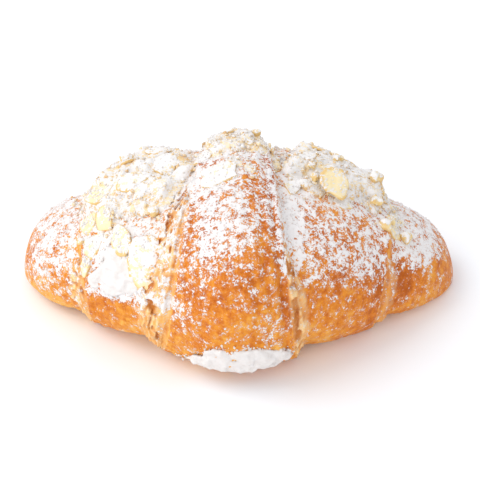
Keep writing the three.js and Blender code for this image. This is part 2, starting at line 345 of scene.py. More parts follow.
# %% Where the dough is torn
TEARS = [
    {"name": "torn_layers_left", "side": LEFT, "edge": 0, "from": -46, "to": 94, "width": 12.5,
     "deep": 1.9, "layers": 6, "chain": (0.45, 0.78), "holes": 0.85, "soft": 0.3, "pale": 1.0,
     "crumbly": 1.1},
    {"name": "torn_layers_right", "side": RIGHT, "edge": 0, "from": -48, "to": 58, "width": 7,
     "deep": 0.9, "layers": 1.7, "chain": (0.3, 0.3), "holes": 0.8, "soft": 0.25, "pale": 1.0,
     "crumbly": 1.5, "swell": 1.5},
    {"name": "torn_tip_left", "side": LEFT, "edge": 1, "from": -40, "to": 44, "width": 7.5,
     "deep": 1.6, "layers": 3, "chain": (0.8, 0.6), "holes": 0.6, "soft": 0.3, "pale": 1.0,
     "crumbly": 1.1},
    {"name": "torn_tip_right", "side": RIGHT, "edge": 1, "from": -50, "to": 48, "width": 7,
     "deep": 1.0, "layers": 1.2, "chain": (0.6, 0.6), "holes": 0.1, "soft": 0.6, "pale": 0.45,
     "crumbly": 0.6},
]


def tear_width(tear, angle):
    share = np.clip((angle - tear["from"]) / (tear["to"] - tear["from"]), 0, 1)
    swell = np.sin(np.pi * share) ** tear.get("swell", 0.7)
    ragged = drift(columns(angle * 0.6, angle * 0, angle * 0 + tear["width"]), 5)
    return tear["width"] * swell * (1 + 0.3 * ragged)


def turned(angle):
    """The angle from -180 to 180 degrees, as the tears and the patches are given."""
    return (angle + 180) % 360 - 180


def each_tear(x, angle):
    """For each tear: how far past its edge each place is, its width there, and where it is."""
    signed = turned(angle)
    for tear in TEARS:
        beyond = np.abs(x) - edges_of(tear["side"], angle)[tear["edge"]]
        same_side = np.sign(x) == tear["side"]["sign"]
        here = same_side & (signed > tear["from"]) & (signed < tear["to"])
        yield tear, beyond, tear_width(tear, signed), here


def tear_depth(x, angle):
    """How far the skin is sunk under the torn strips."""
    total = np.zeros(x.shape)
    for tear, beyond, width, here in each_tear(x, angle):
        inside = ramp(beyond, -0.2, 1.0) * (1 - ramp(beyond, width - 0.5, width + 0.5))
        total += np.where(here, tear["deep"] * inside * ramp(width, 0.5, 3), 0)
    return total


# %% [markdown]
# ## The dough
# A globe with its poles at the croissant's tips has the same layout as the roll: its parallels
# become rings round the dough and its meridians run from tip to tip. So a UV sphere is the start,
# and each of its points moves to its place on the skin. Rings crowd where the wrap's edges are.

# %% Rings and meridians
RINGS = 296
MERIDIANS = 330


def crowded(stops, weight):
    """Even shares from 0 to 1 turned into places that lie closest where the weight is high."""
    total = np.concatenate([[0], np.cumsum((weight[1:] + weight[:-1]) / 2 * np.diff(stops))])
    return lambda share: np.interp(share, total / total[-1], stops)


along = np.linspace(-HALF, HALF, 3161)
closeness = 1 + 1.2 * np.exp(-(((along + 26) / 7) ** 2)) + 1.0 * np.exp(-(((along - 17) / 6) ** 2))
closeness += 0.8 * np.exp(-(((np.abs(along) - 58) / 5) ** 2)) + 3 * ramp(np.abs(along), 74, HALF)
place_along = crowded(along, closeness)

rounds = np.linspace(-90, 270, 1441)
seen = ramp(rounds, -70, -40) * (1 - ramp(rounds, 190, 220))
place_round = crowded(rounds, 0.35 + 0.65 * seen)

bpy.ops.object.select_all(action="DESELECT")
bpy.ops.mesh.primitive_uv_sphere_add(segments=MERIDIANS, ring_count=RINGS, radius=HALF * MM)
dough = bpy.context.object
dough.name = "baked_dough"
globe = points_of(dough.data) / HALF
x = place_along(1 - np.arccos(np.clip(globe[:, 2], -1, 1)) / np.pi)
angle = place_round((1 - (np.arctan2(globe[:, 1], globe[:, 0]) / (2 * np.pi)) % 1) % 1)


def ring_lean(x):
    """The rings lean with the edges of the wrap, so that an edge isn't a staircase."""
    lean = np.zeros(x.shape)
    for side in (LEFT, RIGHT):
        inner, outer = edges_of(side, np.full(x.shape, POINT_ANGLE - 180.0))[:2]
        out = np.abs(x)
        share = np.where(out < inner, out / inner, np.maximum((outer - out) / (outer - inner), 0))
        slope = -side["sign"] * share * side["pitch"][0] * (1 - side["lean"][0])
        lean = np.where(np.sign(x) == side["sign"], slope, lean)
    turn = ((POINT_ANGLE - angle) % 360) / 360
    return lean * np.sin(2 * np.pi * turn) / (2 * np.pi)


x = np.clip(x + ring_lean(x), -HALF, HALF)

# %% [markdown]
# A baked skin isn't smooth: it swells and dents as steam leaves it, wrinkles along the wrap,
# blisters, and curls up a little where a wrap ends. Beside the middle wrap's right edge the
# dough was pinched into pleats. Each of these is one term, in millimetres.

# %% Swell, wrinkles and blisters
ROLL_RADIUS = 38
PLEAT_SPACING = 4.4


def along_wrapping(x, angle):
    """The dough was stretched round the roll: this place's first number crosses the stretch."""
    arc = np.radians(angle) * ROLL_RADIUS * np.maximum(fullness(x), 0.3)
    return columns(x - np.sign(x) * 0.12 * arc, arc, np.abs(x) * 0)


def near_tear(x, angle):
    near = np.zeros(x.shape)
    for _, beyond, width, here in each_tear(x, angle):
        close = ramp(beyond, -5, -1) * (1 - ramp(beyond, width + 1, width + 4))
        near = np.maximum(near, np.where(here, close * ramp(width, 1, 4), 0))
    return near


def pleats_at(x, angle, smooth, past, before):
    """The pleats' height: strong in the middle band beside its right edge, faint elsewhere."""
    place = along_wrapping(x, angle)
    pinched = np.exp(-before / 6) * np.where((past >= FAR) & (x > 0), 0.7, 0.18)
    pinched *= 0.75 + 0.6 * drift(place * (1, 0.25, 1), 6, 22)
    wander = before + 1.3 * drift(place * (0, 0.06, 1), 1.0, 20) + 0.9 * drift(smooth, 6, 18)
    return pinched * np.cos(2 * np.pi * wander / PLEAT_SPACING) * ramp(before, 0.3, 2)


def skin_detail(x, angle, smooth, past, before):
    place = along_wrapping(x, angle)
    swell = 0.8 * drift(smooth, 26, 3) + 0.55 * rough(smooth, 11, 5) + 0.32 * drift(smooth, 4.2, 6)
    wrinkles = 0.26 * drift(place * (1, 0.13, 1), 2.6, 9) + 0.13 * drift(place * (1, 0.2, 1), 1.2, 11)
    blisters = 0.45 * crumbs(smooth, 6.5, 13) ** 2 * ramp(drift(smooth, 17, 15), -0.1, 0.5)
    grain = 0.09 * drift(smooth, 1.4, 17)
    curl = 0.55 * np.exp(-before / 1.6) * (0.6 + 0.8 * drift(smooth, 9, 19))
    curl *= ramp(HALF - np.abs(x), 2, 9) * (1 - near_tear(x, angle))
    pleats = pleats_at(x, angle, smooth, past, before)
    quiet = ramp(HALF - np.abs(x), 0, 8)
    return swell * quiet + wrinkles + blisters + grain + curl + pleats


relief, past, before = wrapping(x, angle, drop=1.8)
smooth = skin_at(x, angle, relief)
sunk = tear_depth(x, angle)
baked = skin_at(x, angle, relief + skin_detail(x, angle, smooth, past, before) - sunk)
move_points(dough.data, baked)
bpy.ops.object.shade_smooth()
print("dough:", len(dough.data.polygons), "faces,", round(baked[:, 2].max(), 1), "mm high")

# %% [markdown]
# The oven and the sieve leave numbers on the skin for its material to read: how dark each spot
# baked, with painted shade on the side facing away from the lamp and painted light and shade on
# the pleats, how open its layers are, and how much icing sugar lies on it. Sugar falls straight
# down, so it stays where the skin faces up. The baker's hand is uneven too: a few patches get
# more or less, each given by its place along and round the roll.

# %% How dark, how open and how sugared
SUGAR_PATCHES = [
    # along, round, half length, half width round, more or less
    (-70, 30, 9, 30, 0.4),
    (-60, 55, 8, 10, -0.2),
    (-66, 20, 9, 10, 0.22),
    (-53, 42, 4, 10, -0.25),
    (-62, -30, 10, 12, 0.2),
    (-42, 30, 12, 24, 0.6),
    (-43, -2, 9, 10, -0.3),
    (-47, 14, 4, 6, 0.35),
    (-66.5, 41, 4, 7, -0.2),
    (-49.5, 38, 3, 10, -0.25),
    (-44, 12, 7, 4, 0.3),
    (-63, -6, 9, 9, 0.2),
    (-26, 14, 9, 7, 0.7),
    (-19, 90, 6, 12, 0.35),
    (-17, 56, 4, 18, -0.3),
    (2, 40, 11, 12, -0.34),
    (-8, 36, 5, 8, -0.15),
    (5, 62, 4, 26, -0.15),
    (6, 76, 6, 14, -0.28),
    (10.5, 52, 3.5, 18, -0.3),
    (10.5, 41, 2.5, 9, -0.16),
    (0, 31, 5, 8, -0.2),
    (10, 4, 4, 14, 0.2),
    (16.5, 66, 4, 32, 0.34),
    (24, 52, 4, 18, -0.12),
    (26, 32, 5, 8, 0.28),
    (38, 60, 16, 26, -0.2),
    (45, 33, 9, 10, 0.32),
    (56.5, 18, 2.5, 16, -0.3),
    (64, 62, 8, 22, 0.22),
    (71, 43, 4, 10, -0.32),
    (1, -24, 17, 8, 0.8),
]


BROWNED_PATCHES = [
    (57, 22, 3.5, 22, 0.5),
    (10, 76, 4, 40, 0.15),
    (-8, 6, 9, 20, 0.12),
    (-43, -4, 10, 16, 0.12),
    (0, -20, 13, 10, -0.15),
    (13, 5, 3, 30, -0.22),
    (-63, -36, 12, 12, -0.15),
]


def patched(amount, patches, x, angle):
    for along_at, round_at, length, width, more in patches:
        away = ((x - along_at) / length) ** 2 + ((turned(angle) - round_at) / width) ** 2
        amount = amount + more * np.exp(-away)
    return amount


def facing(x, angle):
    """The smooth roll's outward direction."""
    bare = np.zeros(x.shape)
    along_x = skin_at(x + 0.4, angle, bare) - skin_at(x - 0.4, angle, bare)
    round_it = skin_at(x, angle + 0.8, bare) - skin_at(x, angle - 0.8, bare)
    outward = np.cross(along_x, round_it)
    return outward / np.maximum(np.linalg.norm(outward, axis=1), 1e-6)[:, None]


def fallen_sugar(normals, x, angle):
    amount = patched(0.1 + 0.6 * ramp(normals[:, 2], 0.34, 0.78), SUGAR_PATCHES, x, angle)
    return amount * ramp(normals[:, 2], -0.5, 0.0)


def note_bake(piece, x, angle, smooth, past, before, opened, gap):
    broad = facing(x, angle)
    mixed = 0.6 * broad + 0.4 * normals_of(piece.data)
    sugar = fallen_sugar(mixed, x, angle) + 0.1 * rough(smooth, 12, 24)
    pleat = pleats_at(x, angle, smooth, past, before)
    sugar += 0.25 * pleat - 0.25 * np.exp(-past / 1.5) - 0.1 * opened - 0.8 * gap
    browned_and_shade = 0.42 + 0.25 * np.exp(-before / 4) + 0.22 * drift(smooth, 19, 21)
    # painted shade: faces turned right, away from the lamp on the left, are made browner
    browned_and_shade += 0.2 * rough(smooth, 6, 23) + 0.14 * broad[:, 0] + 0.12 * ramp(broad[:, 2], -0.1, 0.7)
    # painted light and shade on the pleats: their crests are made paler and their troughs browner
    browned_and_shade -= 0.3 * np.exp(-past / 2.5) + 0.12 * ramp(-broad[:, 2], -0.1, 0.4) + 0.2 * pleat
    browned_and_shade = patched(browned_and_shade, BROWNED_PATCHES, x, angle)
    note(piece.data, "browned_and_shade", np.clip(browned_and_shade, 0, 1))
    note(piece.data, "opened", np.clip(opened, 0, 1))
    note(piece.data, "gap", np.clip(gap, 0, 1))
    note(piece.data, "sugar", np.clip(sugar, 0, 1))
    stretched = piece.data.attributes.new("along_wrap", "FLOAT_VECTOR", "POINT")
    stretched.data.foreach_set("vector", (along_wrapping(x, angle) * MM).astype(np.float32).ravel())
    return sugar


sugar = note_bake(dough, x, angle, smooth, past, before, sunk / 3, sunk * 0)
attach(dough, "root")
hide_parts("croissant_dough")
print("mean sugar", round(float(sugar.mean()), 2))

# %% [markdown]
# ## The torn leaves
# Each strip starts as a flat grid: its rows run along the tear and its columns across. It joins
# the two wraps in a slope of thin leaves, each a wall with a soft side and a steep one, and a
# chain of holes runs where the leaves parted most. Its borders dive under the skin, so that no
# seam shows. Solidify closes the strip underneath.

# %% One strip for each tear
LEAF_SPACING = 0.32
OVERLAP = 3.4
TEAR_RADIUS = 36


def torn_strip(tear, seed):
    side, low, high = tear["side"], tear["from"], tear["to"]
    length = math.radians(high - low) * TEAR_RADIUS
    rows = int(length / LEAF_SPACING)
    across_it = int((tear["width"] * 1.15 + 2 * OVERLAP) / LEAF_SPACING)
    bpy.ops.mesh.primitive_grid_add(x_subdivisions=across_it, y_subdivisions=rows, size=2 * MM)
    strip = bpy.context.object
    strip.name = tear["name"]
    flat = points_of(strip.data)
    across = (1 + side["sign"] * flat[:, 0]) / 2
    lengthways = (flat[:, 1] + 1) / 2
    angle = low + (high - low) * lengthways
    width = np.maximum(tear_width(tear, angle), 0.3)
    edge = edges_of(side, angle)[tear["edge"]]
    beyond = across * (width + 2 * OVERLAP) - OVERLAP
    share = beyond / width
    x = side["sign"] * (edge + beyond)
    arc = lengthways * length
    aside = arc * 0 + seed * 11

    relief, past, before = wrapping(x, angle, drop=1.8)
    smooth = skin_at(x, angle, relief)
    closed = relief + skin_detail(x, angle, smooth, past, before)
    far_relief, _, _ = wrapping(side["sign"] * (edge + width + 0.5), angle)
    slope = STEP / 2 - (STEP / 2 - far_relief) * ramp(share, 0, 1.05)

    flow = columns(beyond, arc * 0.35, aside)
    stairs = np.clip(share, 0, 1) * tear["layers"] + 0.8 * drift(flow, 6, seed)
    stairs = stairs + 0.35 * drift(flow, 2.2, seed + 1)
    rise = stairs % 1
    leaf = ramp(rise, 0.2, 0.75) * (1 - ramp(rise, 0.84, 1.0))
    strong = 0.5 + 0.7 * drift(columns(np.floor(stairs) * 4.1, arc, aside), 7, seed + 2)
    fibres = 0.24 * drift(columns(beyond, arc * 0.3, aside), 1.0, seed + 3)
    clumps = 0.55 * rough(smooth, 3.0, seed + 4) + 0.65 * crumbs(smooth, 2.0, seed + 10)
    clumps *= tear["crumbly"]
    chain_at = tear["chain"][0] + (tear["chain"][1] - tear["chain"][0]) * ramp(angle, -5, 30)
    chain_at = chain_at + 0.14 * drift(columns(arc * 0, arc, aside), 9, seed + 5)
    chain = np.exp(-(((share - chain_at) * width / 1.5) ** 2))
    spaced = ramp(rough(columns(beyond * 0.7, arc * 0.6, aside), 3.2, seed + 6), 0.0, 0.3)
    stray = ramp(drift(columns(beyond, arc * 0.5, aside), 2.6, seed + 7), 0.3, 0.55)
    stray = 0.8 * stray * ramp(rise, 0.0, 0.2) * (1 - ramp(rise, 0.4, 0.6))
    gap = np.clip(chain * spaced * 1.3 + stray, 0, 1)
    gap *= tear["holes"] * ramp(share, 0.05, 0.2) * (1 - ramp(share, 0.85, 1.0))
    ragged = 0.1 * drift(columns(arc, aside, aside), 3, seed + 8)
    opened = ramp(share + ragged, -0.1, tear["soft"]) * (1 - ramp(share + ragged, 0.8, 1.04))
    torn = slope + 0.9 * leaf * np.clip(strong, 0.15, 1) + fibres + clumps - 1.7 * gap
    torn += 0.5 * (closed - relief)
    height = closed + (torn - closed) * opened + 0.12
    sides = np.minimum(across, 1 - across) * (width + 2 * OVERLAP) + 6 * ragged
    ends = np.minimum(lengthways, 1 - lengthways) * length
    height -= 1.6 * (1 - ramp(sides, 0.4, 1.6)) + 2.6 * (1 - ramp(ends, 0, 4))
    move_points(strip.data, skin_at(x, angle, height))
    pale = opened * tear["pale"] * (0.5 + 0.4 * leaf + 0.35 * rough(smooth, 4, seed + 9))
    note_bake(strip, x, angle, smooth, past + 9 * opened, before, pale, gap)

    bpy.ops.object.modifier_add(type="SOLIDIFY")
    strip.modifiers[0].thickness = 0.8 * MM
    strip.modifiers[0].offset = -1
    bpy.ops.object.modifier_apply(modifier=strip.modifiers[0].name)
    bpy.ops.object.shade_smooth()
    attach(strip, "root")
    return strip


torn_strips = []
for number, tear in enumerate(TEARS):
    bpy.ops.object.select_all(action="DESELECT")
    torn_strips.append(torn_strip(tear, 31 + 10 * number))
    print(torn_strips[-1].name, len(torn_strips[-1].data.polygons), "faces")

# %% [markdown]
# ## Almond cream
# The cream is a thick paste of ground almonds that baked to a crumbly, lumpy crust. The model's
# patches have its extent and thickness. Remeshing a merged copy gives small even faces, and
# pushing them along their normals gives lumps, pits and a broken rim.

# %% A fine copy of a node


def fine_copy(node, name, voxel):
    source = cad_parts[node]
    bpy.ops.object.select_all(action="DESELECT")
    copy = source.copy()
    copy.data = source.data.copy()
    copy.parent = None
    copy.matrix_world = source.matrix_world.copy()
    bpy.context.collection.objects.link(copy)
    copy.name = name
    copy.select_set(True)
    bpy.context.view_layer.objects.active = copy
    bpy.ops.object.transform_apply(location=True, rotation=True, scale=True)
    bpy.ops.object.mode_set(mode="EDIT")
    bpy.ops.mesh.select_all(action="SELECT")
    bpy.ops.mesh.remove_doubles(threshold=0.01 * MM)
    bpy.ops.object.mode_set(mode="OBJECT")
    if voxel:
        copy.data.remesh_voxel_size = voxel * MM
        bpy.ops.object.voxel_remesh()
    bpy.ops.object.shade_smooth()
    copy.data.materials.clear()
    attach(copy, "root")
    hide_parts(node)
    return copy


def push_out(piece, amount):
    points = points_of(piece.data)
    move_points(piece.data, points + normals_of(piece.data) * amount[:, None])


def tree_of(piece):
    """The piece's faces, sorted so that the nearest one to a point is found quickly."""
    corners_of_faces = [face.vertices for face in piece.data.polygons]
    return BVHTree.FromPolygons([vertex.co for vertex in piece.data.vertices], corners_of_faces)


dough_tree = tree_of(dough)


def above_dough(points):
    """How far each point stands off the dough, in millimetres, and the way off it."""
    heights, outwards = [], []
    for point in points * MM:
        spot, outward, _, _ = dough_tree.find_nearest(Vector(point))
        heights.append((Vector(point) - spot).dot(outward) / MM)
        outwards.append(outward)
    return np.array(heights), np.array(outwards)


def wandered(points, size, amount, seed):
    """Shifts points sideways unevenly, so that an outline wanders."""
    return points + amount * columns(*(drift(points, size, seed + i) for i in range(3)))


LESS_SUGAR = {"left": 0.08, "centre": 0.2, "right": 0.0}
PRESSED = {"left": 0.1, "centre": 0.3, "right": 0.2}
LUMPY = {"left": 1.0, "centre": 0.55, "right": 0.9}
creams = []
for number, side_name in enumerate(("left", "centre", "right")):
    patch = fine_copy("almond_cream_" + side_name, "baked_almond_cream_" + side_name, 0.62)
    points = points_of(patch.data)
    seed = 71 + number * 10
    points = wandered(points, 7, 1.5, seed + 8)
    move_points(patch.data, points)
    height, outwards = above_dough(points)
    rim_height = 0.3 + 0.25 * np.percentile(height, 95)
    thick = ramp(height, rim_height, 2.4 * rim_height)
    points -= outwards * (PRESSED[side_name] + rim_height * (1 - thick))[:, None]
    move_points(patch.data, points)
    lumps = 1.6 * crumbs(points, 7.5, seed) + 0.8 * crumbs(points, 3.6, seed + 1) - 0.5
    push_out(patch, LUMPY[side_name] * lumps * thick + 0.6 * rough(points, 5, seed + 2))
    points = points_of(patch.data)
    bits = 0.3 * crumbs(points, 1.9, seed + 3)
    push_out(patch, bits + 0.12 * drift(points, 0.9, seed + 4) - 0.08)
    normals = normals_of(patch.data)
    # browner where the surface doesn't face up: the lumps' sides and the rim
    browned_and_shade = 0.4 + 0.45 * drift(points, 7, seed + 5) - 0.25 * ramp(normals[:, 2], 0.2, 0.9)
    note(patch.data, "browned_and_shade", np.clip(browned_and_shade, 0, 1))
    fallen = 0.42 + 0.36 * ramp(normals[:, 2], 0.0, 0.7) + 0.34 * rough(points, 9, seed + 6)
    fallen -= LESS_SUGAR[side_name]
    note(patch.data, "sugar", np.clip(fallen, 0, 1))
    creams.append(patch)
    print(patch.name, len(patch.data.polygons), "faces")

# %% [markdown]
# ## Flaked and chopped almonds
# A flaked almond is a slice about a millimetre thick, rounder at one end, a little curled from
# the oven. The model's flakes have each one's place and outline, so merged copies are subdivided
# until their outline is round, then bent unevenly. Each then settles: rays from its underside
# find what lies below, and it tilts, bends a little and sinks until it is pressed into that.

# %% Settling
RAYS_FROM = 4.0


def drops_below(points, up, trees):
    """How far each point can sink before it meets a piece below, in millimetres."""
    down = -Vector(up)
    drops = []
    for point in points:
        start = Vector(point * MM) - down * RAYS_FROM * MM
        hits = [tree.ray_cast(start, down, 14 * MM)[3] for tree in trees]
        drops.append(min((hit / MM - RAYS_FROM for hit in hits if hit is not None), default=0.0))
    return np.array(drops)


def bedded(points, local, up, trees, bend, press):
    """Lays a flat piece on what is below: tilted to its slope, bent by a share of its curve."""
    under = np.nonzero(local[:, 2] < np.percentile(local[:, 2], 40))[0][::9]
    drops = drops_below(points[under], up, trees)
    flat = local[:, :2] / 5
    slopes = np.column_stack([np.ones(len(flat)), flat])
    curves = np.column_stack([flat[:, 0] ** 2, flat[:, 0] * flat[:, 1], flat[:, 1] ** 2])
    terms = np.column_stack([slopes, curves])
    fitted, _, _, _ = np.linalg.lstsq(terms[under], drops, rcond=None)
    sinking = slopes @ fitted[:3] + bend * curves @ fitted[3:]
    spare = np.percentile(drops - sinking[under], 20)
    return points - up * (sinking + spare + press)[:, None]


# %% Flakes


def own_frame(points):
    """The middle of a flat piece, and three rows: its directions lengthways, across and up."""
    middle = points.mean(axis=0)
    _, _, axes = np.linalg.svd(points - middle, full_matrices=False)
    up = axes[2] * np.sign(axes[2][2])
    return middle, np.stack([axes[0], np.cross(up, axes[0]), up])


def nodes_called(start):
    return sorted(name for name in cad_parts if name.startswith(start))


pile = [dough_tree, *(tree_of(patch) for patch in creams)]
LIGHTLY_DUSTED = {2: 0.6, 3: 0.65, 5: 0.45, 6: 0.5, 7: 0.45, 20: 0.22, 22: 0.45, 25: 0.45, 27: 0.5}
BLUNT = (1, 13)
PROPPED = {20: (math.radians(28), 0.8)}
RAISED = {1: 1.4, 2: 0.5}
SNAPPED = {3: [(0.3, 0.5)], 5: [(-0.4, 0.3)], 6: [(0.45, -0.4)], 7: [(-0.5, 0.2)], 9: [(0.4, 0.3)],
           13: [(0.62, 0.25), (-0.66, 0.1)], 18: [(0.4, -0.5)], 21: [(-0.3, 0.5)], 24: [(0.3, 0.2)]}


def snap_off(local, share, slant):
    """Squashes one end of a flake to a nearly straight edge, as if it had snapped there."""
    half = np.abs(local[:, 0]).max()
    end = np.sign(share)
    over = np.maximum(end * (local[:, 0] + slant * local[:, 1]) - abs(share) * half, 0)
    local[:, 0] -= end * 0.85 * over


flakes = []
for node in nodes_called("almond_flake"):
    number = int(node[-2:])
    flake = fine_copy(node, "flaked_almond_" + node[-2:], None)
    bpy.ops.object.modifier_add(type="SUBSURF")
    flake.modifiers[0].levels = 3
    flake.modifiers[0].render_levels = 3
    bpy.ops.object.modifier_apply(modifier=flake.modifiers[0].name)
    points = points_of(flake.data)
    middle, axes = own_frame(points)
    up = axes[2]
    local = (points - middle) @ axes.T
    if number in BLUNT:
        along_it = local[:, 0] / np.abs(local[:, 0]).max()
        narrow = -np.sign((along_it * np.abs(local[:, 1])).sum())
        local[:, 1] *= 1 + 0.8 * ramp(along_it * narrow, 0.0, 0.9)
    radius = np.hypot(local[:, 0] / np.abs(local[:, 0]).max(), local[:, 1] / np.abs(local[:, 1]).max())
    outline = 1.04 + 0.15 * rough(local * (1, 1, 0), 5.0, number)
    local[:, :2] *= (1 + (outline - 1) * radius**2)[:, None]
    for share, slant in SNAPPED.get(number, ()):
        snap_off(local, share, slant)
    local[:, 2] = local[:, 2] * 1.1 + 0.35 * drift(local * (1, 1, 0), 8, number + 40)
    local[:, 2] += 0.12 * drift(local * (1, 1, 0), 2.2, number + 80)
    moved = middle + local @ axes
    if number in PROPPED:
        lean, lift = PROPPED[number]
        _, back, high = (moved - middle).T
        moved[:, 1] = middle[1] + back * math.cos(lean) - high * math.sin(lean)
        moved[:, 2] = middle[2] + back * math.sin(lean) + high * math.cos(lean) + lift
    else:
        moved = bedded(moved, local, up, pile, 0.7, 0.7 - RAISED.get(number, 0))
    move_points(flake.data, moved)
    if number not in PROPPED:
        pile.append(tree_of(flake))
    normals = normals_of(flake.data)
    upper = ramp(normals @ up, -0.2, 0.6)
    below = -(local @ axes[:, 2])
    lower_end = ramp(below / below.max(), 0.4, 0.75) * ramp(below.max(), 1.5, 3.5)
    note(flake.data, "rim", np.clip(ramp(radius, 0.72, 1.02), 0, 1))
    dusted = upper * ramp(normals[:, 2], 0.1, 0.75) * (1.0 - 0.75 * lower_end)
    dusted *= LIGHTLY_DUSTED.get(number, 0.85) + 0.3 * drift(moved, 6, number)
    note(flake.data, "sugar", np.clip(dusted, 0, 1))
    flakes.append(flake)
print(len(flakes), "flakes of", len(flakes[0].data.polygons), "faces")

# %% Chopped pieces
chopped = []
for node in nodes_called("almond_crumb"):
    piece = fine_copy(node, "chopped_almond_" + node[-2:], 0.35)
    points = points_of(piece.data)
    seed = 200 + int(node[-2:])
    push_out(piece, 0.5 * rough(points, 3, seed) + 0.3 * crumbs(points, 1.6, seed + 20) - 0.1)
    points = points_of(piece.data)
    _, outwards = above_dough(points[:1])
    foot = np.argsort(points @ outwards[0])[: len(points) // 5]
    drop = np.percentile(drops_below(points[foot][::5], outwards[0], pile), 30)
    move_points(piece.data, points - outwards[0] * (drop + 0.5))
    normals = normals_of(piece.data)
    note(piece.data, "rim", 0.5 + 0.5 * drift(points, 2, seed + 40))
    note(piece.data, "sugar", np.clip(0.75 * ramp(normals[:, 2], 0.1, 0.8), 0, 1))
    chopped.append(piece)
print(len(chopped), "chopped pieces")

# %% [markdown]
# ## Thick icing sugar
# In two places the sugar lies so thick that it has a shape: a soft bank with a crumbled edge.

# %% Sugar banks
SETTLED = {"left": 0.35, "foot": -0.2}
banks = []
for number, place in enumerate(("left", "foot")):
    bank = fine_copy("icing_sugar_" + place, "thick_icing_sugar_" + place, 0.4)
    seed = 300 + number * 10
    points = points_of(bank.data)
    points = wandered(points, 4, 1.2 * ramp(points[:, 2:], 2, 8), seed + 8)
    move_points(bank.data, points)
    thick = ramp(above_dough(points)[0], -0.1, 0.9)
    lumps = 0.5 * rough(points, 3.2, seed) + 0.4 * crumbs(points, 1.8, seed + 3)
    push_out(bank, lumps * thick * ramp(points[:, 2], 1, 6) - SETTLED[place])
    low = points_of(bank.data)
    low[:, 2] = np.maximum(low[:, 2], 0.05)
    move_points(bank.data, low)
    banks.append(bank)
    print(bank.name, len(bank.data.polygons), "faces")

# %% [markdown]
# ## Loose bits
# Crumbs of cream lie on and around the cream, and clots of sugar lie wherever it fell thick.
# There are thousands, so each is a copy of one small faceted ball, stretched and turned its own
# way, and all of a kind are one mesh. They are too many to copy one by one.

# %% Scatter


def surface_spots(piece, count, weights, chance):
    """Random spots on a mesh's faces, more of them where the weights are high."""
    mesh = piece.data
    mesh.calc_loop_triangles()
    corner_index = np.empty(len(mesh.loop_triangles) * 3, dtype=np.int64)
    mesh.loop_triangles.foreach_get("vertices", corner_index)
    corner_index = corner_index.reshape(-1, 3)
    points, normals = points_of(mesh), normals_of(mesh)
    a, b, c = (points[corner_index[:, i]] for i in range(3))
    area = np.linalg.norm(np.cross(b - a, c - a), axis=1)
    share = area * weights[corner_index].mean(axis=1)
    chosen = chance.choice(len(area), size=count, p=share / share.sum())
    mix = chance.dirichlet((1, 1, 1), size=count)
    spots = (points[corner_index[chosen]] * mix[:, :, None]).sum(axis=1)
    return spots, normals[corner_index[chosen, 0]]


bpy.ops.object.select_all(action="DESELECT")
bpy.ops.mesh.primitive_ico_sphere_add(subdivisions=1, radius=MM)
ball = bpy.context.object
BALL_POINTS = points_of(ball.data)
BALL_FACES = np.array([list(face.vertices) for face in ball.data.polygons])
bpy.data.objects.remove(ball)


def scattered(name, spots, normals, sizes, chance):
    count = len(spots)
    turn, _ = np.linalg.qr(chance.normal(size=(count, 3, 3)))
    stretch = chance.uniform(0.65, 1.25, size=(count, 1, 3))
    lumpy = BALL_POINTS[None] * (1 + chance.uniform(-0.22, 0.22, size=(count, len(BALL_POINTS), 1)))
    balls = np.einsum("nij,nkj->nki", turn, lumpy * stretch) * sizes[:, None, None]
    balls *= np.sign(np.linalg.det(turn))[:, None, None]
    points = (spots + normals * (sizes * 0.35)[:, None])[:, None] + balls
    faces = (BALL_FACES[None] + np.arange(count)[:, None, None] * len(BALL_POINTS)).reshape(-1, 3)
    mesh = bpy.data.meshes.new(name)
    mesh.from_pydata((points.reshape(-1, 3) * MM).tolist(), [], faces.tolist())
    piece = bpy.data.objects.new(name, mesh)
    bpy.context.collection.objects.link(piece)
    mesh.shade_smooth()
    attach(piece, "root")
    return piece


chance = np.random.default_rng(11)


def attribute_of(piece, name):
    values = np.empty(len(piece.data.vertices), dtype=np.float32)
    piece.data.attributes[name].data.foreach_get("value", values)
    return values


dough_points, dough_normals = points_of(dough.data), normals_of(dough.data)


def spots_beside(piece, count, reach_mm):
    """Spots on the dough just outside a piece that lies on it."""
    tree = tree_of(piece)
    low, high = points_of(piece.data).min(axis=0) - 4, points_of(piece.data).max(axis=0) + 4
    close = np.nonzero(((dough_points > low) & (dough_points < high)).all(axis=1))[0]
    weights = np.zeros(len(close))
    for i, index in enumerate(close):
        spot, outward, _, distance = tree.find_nearest(Vector(dough_points[index] * MM))
        outside = (Vector(dough_points[index] * MM) - spot).dot(outward) > 0
        weights[i] = math.exp(-distance / MM / reach_mm) if outside else 0
    chosen = chance.choice(close, size=count, p=weights / weights.sum())
    scatter_by = chance.normal(scale=0.25, size=(count, 3))
    return dough_points[chosen] + scatter_by, dough_normals[chosen]


def joined(groups):
    """Several groups of spots and normals as one group."""
    return [np.concatenate(arrays) for arrays in zip(*groups)]


CRUMBS_ON = 320
CRUMBS_BESIDE = 170
groups = []
for patch in creams:
    facing_up = ramp(normals_of(patch.data)[:, 2], 0.0, 0.5)
    groups.append(surface_spots(patch, CRUMBS_ON, facing_up, chance))
    groups.append(spots_beside(patch, CRUMBS_BESIDE, 1.3))
cream_spots, cream_normals = joined(groups)
sizes = 0.28 + 0.75 * chance.random(len(cream_spots)) ** 3
cream_crumbs = scattered("almond_cream_crumbs", cream_spots, cream_normals, sizes, chance)
note(cream_crumbs.data, "browned_and_shade", np.repeat(0.5 * chance.random(len(sizes)), len(BALL_POINTS)))
note(cream_crumbs.data, "sugar", 0.3 + 0.4 * ramp(normals_of(cream_crumbs.data)[:, 2], 0, 0.9))

